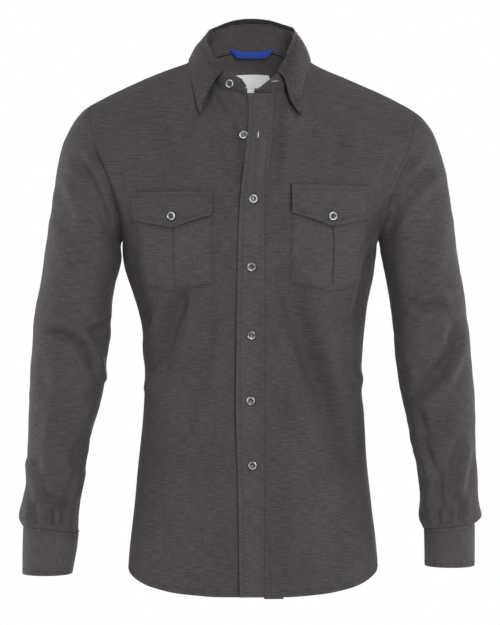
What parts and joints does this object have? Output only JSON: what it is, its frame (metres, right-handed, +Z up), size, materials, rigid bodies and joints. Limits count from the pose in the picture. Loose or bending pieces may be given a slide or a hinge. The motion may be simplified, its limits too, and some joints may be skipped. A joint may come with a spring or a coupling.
{
  "type": "long-sleeved shirt",
  "caption": "Long-sleeved button-front twill shirt with a turned-down collar, pleated chest pockets under pointed flaps, buttoned cuffs and a curved hem, filled out with nobody in it.",
  "frame": {"origin": "middle of the shoulder line at the base of the neck, where the wearer holds the shirt up", "axes": "+Z up along the body, the front faces -Y, +X is the wearer's left"},
  "size_m": [0.6359, 0.2427, 0.8028],
  "materials": {
    "shirt_cloth": "matt melange twill",
    "buttons": "glossy",
    "loop_ribbon": "satin",
    "label_cloth": "satin"
  },
  "bodies": {
    "root": {"back": "shirt_cloth", "front_right": "shirt_cloth", "front_left": "shirt_cloth", "front_placket": "shirt_cloth", "yoke": "shirt_cloth", "sleeve_right": "shirt_cloth", "sleeve_left": "shirt_cloth", "sleeve_placket_right": "shirt_cloth", "sleeve_placket_left": "shirt_cloth", "cuff_right": "shirt_cloth", "cuff_left": "shirt_cloth", "collar_stand": "shirt_cloth", "collar_leaf": "shirt_cloth", "pocket_right": "shirt_cloth", "pocket_left": "shirt_cloth", "pocket_flap_right": "shirt_cloth", "pocket_flap_left": "shirt_cloth", "button_collar": "buttons", "button_front_1": "buttons", "button_front_2": "buttons", "button_front_3": "buttons", "button_front_4": "buttons", "button_front_5": "buttons", "button_front_6": "buttons", "button_flap_right": "buttons", "button_flap_left": "buttons", "button_cuff_right": "buttons", "button_cuff_left": "buttons", "hanging_loop": "loop_ribbon", "neck_label": "label_cloth", "size_tab": "label_cloth"}
  },
  "joints": []
}
